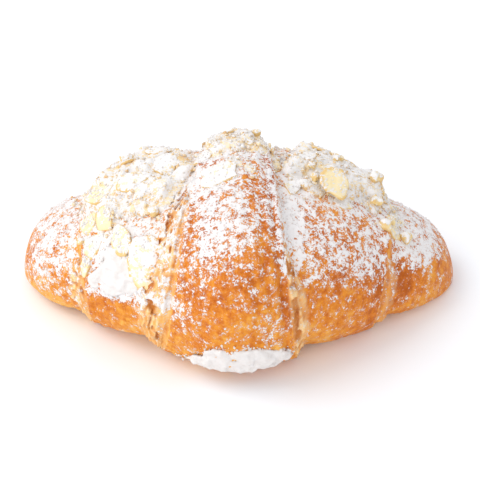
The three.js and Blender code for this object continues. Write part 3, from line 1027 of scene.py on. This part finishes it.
CLOTS_ON = [(dough, 4200, 2.5), *((patch, 500, 1.0) for patch in creams)]
CLOTS_ON += [(flake, 45, 2) for flake in flakes]
CLOTS_BESIDE_BANKS = (160, 300)
COARSER = 1.8
groups = []
for piece, count, power in CLOTS_ON:
    weights = attribute_of(piece, "sugar") ** power * ramp(normals_of(piece.data)[:, 2], -0.6, 0.4)
    groups.append(surface_spots(piece, count, weights, chance))
for bank, count in zip(banks, CLOTS_BESIDE_BANKS):
    groups.append(spots_beside(bank, count, 0.9))
clot_spots, clot_normals = joined(groups)
sizes = 0.13 + 0.3 * chance.random(len(clot_spots)) ** 3
sizes[-sum(CLOTS_BESIDE_BANKS) :] *= COARSER
clots = scattered("icing_sugar_clots", clot_spots, clot_normals, sizes, chance)
print(len(cream_spots), "crumbs of cream and", len(clot_spots), "clots of sugar")

# %% [markdown]
# ## Finishes
# ### Icing sugar, and its dusting over the rest
# Icing sugar is sucrose ground to a powder with a little starch: pure white, quite matt, and
# slightly see-through at its thin edges. The grains are too fine to see, but the sieve lets them
# fall in clots of about half a millimetre, in clusters of a few millimetres.

# %% Dusting
SUGAR_WHITE = paint("ECE9E8")
GRAIN_MM = 0.45
CLOT_MM = 0.85
CLUSTER_MM = 2.6
SPECK_MM = 0.8


def dusted(tree, under, amount):
    """Lays sugar over a colour: gives back the mixed colour and how much of it is sugar."""
    place = add_node(tree, "ShaderNodeTexCoord").outputs["Object"]
    grains = add_node(tree, "ShaderNodeTexVoronoi", {"Vector": place, "Scale": 1000 / GRAIN_MM})
    grain = add_node(tree, "ShaderNodeSeparateColor", {"Color": grains.outputs["Color"]})
    clots = add_node(tree, "ShaderNodeTexNoise", {
        "Vector": place, "Scale": 1000 / CLOT_MM, "Detail": 1.5, "Roughness": 0.7})
    clusters = add_node(tree, "ShaderNodeTexNoise", {
        "Vector": place, "Scale": 1000 / CLUSTER_MM, "Detail": 2.0, "Roughness": 0.6})
    fallen = amount
    for pattern, weight in ((grain, 0.5), (clots, 1.25), (clusters, 2.2)):
        fallen = add_node(tree, "ShaderNodeMath", {0: pattern, 1: weight, 2: fallen},
                          operation="MULTIPLY_ADD")
    thick = add_node(tree, "ShaderNodeMapRange", {
        "Value": fallen, "From Min": 2.26, "From Max": 2.64, "To Max": 0.97},
        interpolation_type="SMOOTHSTEP")
    # single grains lie scattered between the clots, each in its own cell
    cells = add_node(tree, "ShaderNodeTexVoronoi", {"Vector": place, "Scale": 1000 / SPECK_MM})
    cell = add_node(tree, "ShaderNodeSeparateColor", {"Color": cells.outputs["Color"]})
    near = add_node(tree, "ShaderNodeMath", {
        0: cells, 1: -2.2, 2: cell}, operation="MULTIPLY_ADD")
    likely = add_node(tree, "ShaderNodeMath", {0: amount, 1: 0.6, 2: near},
                      operation="MULTIPLY_ADD")
    specks = add_node(tree, "ShaderNodeMapRange", {
        "Value": likely, "From Min": 0.57, "From Max": 0.77, "To Max": 0.8})
    # and a haze of dust too fine to see lies over all of it
    haze = add_node(tree, "ShaderNodeMapRange", {
        "Value": fallen, "From Min": 2.08, "From Max": 2.7, "To Max": 0.26})
    cover = thick
    for thinner in (specks, haze):
        cover = add_node(tree, "ShaderNodeMath", {0: cover, 1: thinner}, operation="MAXIMUM")
    mixed = add_node(tree, "ShaderNodeMix", {
        0: cover, 6: under, 7: SUGAR_WHITE}, data_type="RGBA")
    return mixed.outputs[2], cover


def lay_sugar(tree, shader, under, read, under_bump, strength, height_mm):
    """Dusts a finish and raises the sugar over it: gives back how much of it is sugar."""
    colour, cover = dusted(tree, under, read["sugar"])
    tree.links.new(colour, shader.inputs["Base Color"])
    raised = add_node(tree, "ShaderNodeBump", {
        "Height": cover, "Strength": strength, "Distance": height_mm * MM, "Normal": under_bump})
    tree.links.new(raised.outputs["Normal"], shader.inputs["Normal"])
    return cover


def read_numbers(tree, *names):
    """The numbers that were noted on a mesh, each by its name."""
    return {name: add_node(tree, "ShaderNodeAttribute", attribute_name=name).outputs["Fac"]
            for name in names}


icing_sugar, tree, shader, place = new_material(
    "icing_sugar", Base_Color=SUGAR_WHITE, Roughness=0.95, Specular_IOR_Level=0.2)
powder = add_node(tree, "ShaderNodeTexNoise", {"Vector": place, "Scale": 1000 / 0.8, "Detail": 3.0})
warmth = add_node(tree, "ShaderNodeTexNoise", {"Vector": place, "Scale": 1000 / 3.0, "Detail": 2.0})
tint = add_node(tree, "ShaderNodeMix", {
    0: warmth, 6: paint("EBE7E5"), 7: paint("DFD7D1")}, data_type="RGBA")
tree.links.new(tint.outputs[2], shader.inputs["Base Color"])
bump = add_node(tree, "ShaderNodeBump", {
    "Height": powder, "Strength": 0.6, "Distance": 0.3 * MM})
tree.links.new(bump.outputs["Normal"], shader.inputs["Normal"])

# %% [markdown]
# ### Baked dough
# Croissant crust is dough brushed with egg and browned in the oven: sugars and proteins darken
# from straw through orange to brown, most where the skin stands out. Painted shade is added to
# that browning: the side facing away from the lamp and the pleats' troughs are made browner, and
# the pleats' crests paler. The egg leaves a faint sheen. Its colour runs in streaks along the
# wrap, because the dough was stretched that way.
# Inside a tear the dough never met the egg or the full heat: it is straw yellow and dry. The
# gaps there look dark orange, because light that gets in bounces between toasted walls.

# %% Crust and torn leaves
crust, tree, shader, place = new_material(
    "egg_washed_crust", Roughness=0.55, Specular_IOR_Level=0.14)
read = read_numbers(tree, "browned_and_shade", "opened", "gap", "sugar")
along_it = add_node(tree, "ShaderNodeAttribute", attribute_name="along_wrap").outputs["Vector"]
stretch = add_node(tree, "ShaderNodeMapping", {"Vector": along_it, "Scale": (1, 0.14, 1)})
streaks = add_node(tree, "ShaderNodeTexNoise", {
    "Vector": stretch, "Scale": 1000 / 2.6, "Detail": 3.0, "Roughness": 0.6})
mottle = add_node(tree, "ShaderNodeTexNoise", {
    "Vector": place, "Scale": 1000 / 2.2, "Detail": 4.0, "Roughness": 0.72})
# the noted browning, which carries painted shade, made darker in places by streaks and mottle
toast_and_shade = read["browned_and_shade"]
for pattern, weight in ((streaks, 0.8), (mottle, 1.6)):
    toast_and_shade = add_node(tree, "ShaderNodeMath", {0: pattern, 1: weight, 2: toast_and_shade},
                     operation="MULTIPLY_ADD")
centred = add_node(tree, "ShaderNodeMath", {0: toast_and_shade, 1: 1.18}, operation="SUBTRACT")
TOASTING = ((0.0, "EFB253"), (0.28, "E49535"), (0.52, "D98027"), (0.75, "C86C20"), (1.0, "B25815"))
colours = add_node(tree, "ShaderNodeValToRGB", {"Fac": centred}, stops=TOASTING)
straw = add_node(tree, "ShaderNodeValToRGB", {"Fac": mottle},
                 stops=((0.34, "F0B060"), (0.62, "FDE2AE")))
inside = add_node(tree, "ShaderNodeMix", {0: read["opened"], 6: colours, 7: straw}, data_type="RGBA")
deep = add_node(tree, "ShaderNodeMix", {
    0: read["gap"], 6: inside.outputs[2], 7: paint("BC681E")}, data_type="RGBA")
skin_bump = add_node(tree, "ShaderNodeBump", {
    "Height": mottle, "Strength": 0.8, "Distance": 0.5 * MM})
cover = lay_sugar(tree, shader, deep.outputs[2], read, skin_bump, 0.7, 0.25)
matt = add_node(tree, "ShaderNodeMapRange", {"Value": cover, "To Min": 0.5, "To Max": 0.95})
tree.links.new(matt.outputs["Result"], shader.inputs["Roughness"])
for piece in [dough, *torn_strips]:
    piece.data.materials.append(crust)

# %% [markdown]
# ### Almond cream
# Frangipane: ground almonds, butter, sugar and egg. It bakes to a matt, grainy beige, and is made
# a little browner wherever its surface doesn't face up: on the sides of its lumps and at its rim.

# %% Cream
cream, tree, shader, place = new_material(
    "baked_frangipane", Roughness=0.85, Specular_IOR_Level=0.2)
read = read_numbers(tree, "browned_and_shade", "sugar")
meal = add_node(tree, "ShaderNodeTexNoise", {
    "Vector": place, "Scale": 1000 / 1.2, "Detail": 4.0, "Roughness": 0.75})
shade = add_node(tree, "ShaderNodeMath", {0: meal, 1: 0.9, 2: read["browned_and_shade"]},
                 operation="MULTIPLY_ADD")
beige = add_node(tree, "ShaderNodeValToRGB", {"Fac": shade},
                 stops=((0.35, "FAEAC8"), (0.7, "F2D5A2"), (1.0, "DDAC6F")))
meal_bump = add_node(tree, "ShaderNodeBump", {
    "Height": meal, "Strength": 0.7, "Distance": 0.4 * MM})
lay_sugar(tree, shader, beige, read, meal_bump, 0.6, 0.2)
for piece in [*creams, cream_crumbs]:
    piece.data.materials.append(cream)

# %% [markdown]
# ### Almonds
# Blanched almond is ivory, slightly waxy, and yellower at the rim where the oven dried it.

# %% Almond
almond, tree, shader, place = new_material(
    "blanched_almond", Roughness=0.55, Specular_IOR_Level=0.35)
read = read_numbers(tree, "rim", "sugar")
fibre = add_node(tree, "ShaderNodeTexNoise", {
    "Vector": place, "Scale": 1000 / 1.8, "Detail": 4.0, "Roughness": 0.6})
shade = add_node(tree, "ShaderNodeMath", {0: fibre, 1: 0.7, 2: read["rim"]},
                 operation="MULTIPLY_ADD")
ivory = add_node(tree, "ShaderNodeValToRGB", {"Fac": shade},
                 stops=((0.25, "F7E5BA"), (0.6, "F1D79B"), (1.0, "E6C07C")))
fibre_bump = add_node(tree, "ShaderNodeBump", {
    "Height": fibre, "Strength": 0.4, "Distance": 0.2 * MM})
lay_sugar(tree, shader, ivory, read, fibre_bump, 0.6, 0.2)
for piece in [*flakes, *chopped]:
    piece.data.materials.append(almond)
for piece in [*banks, clots]:
    piece.data.materials.append(icing_sugar)

# %% [markdown]
# ### The table
# A white board, so faintly uneven that only its shading shows it.

# %% Board
board, tree, shader, place = new_material(
    "white_board", Base_Color=paint("F8F9FB"), Roughness=0.8)
faint = add_node(tree, "ShaderNodeTexNoise", {"Vector": place, "Scale": 8.0})
bump = add_node(tree, "ShaderNodeBump", {
    "Height": faint, "Strength": 0.05, "Distance": 1.0 * MM})
tree.links.new(bump.outputs["Normal"], shader.inputs["Normal"])
table.data.materials.append(board)
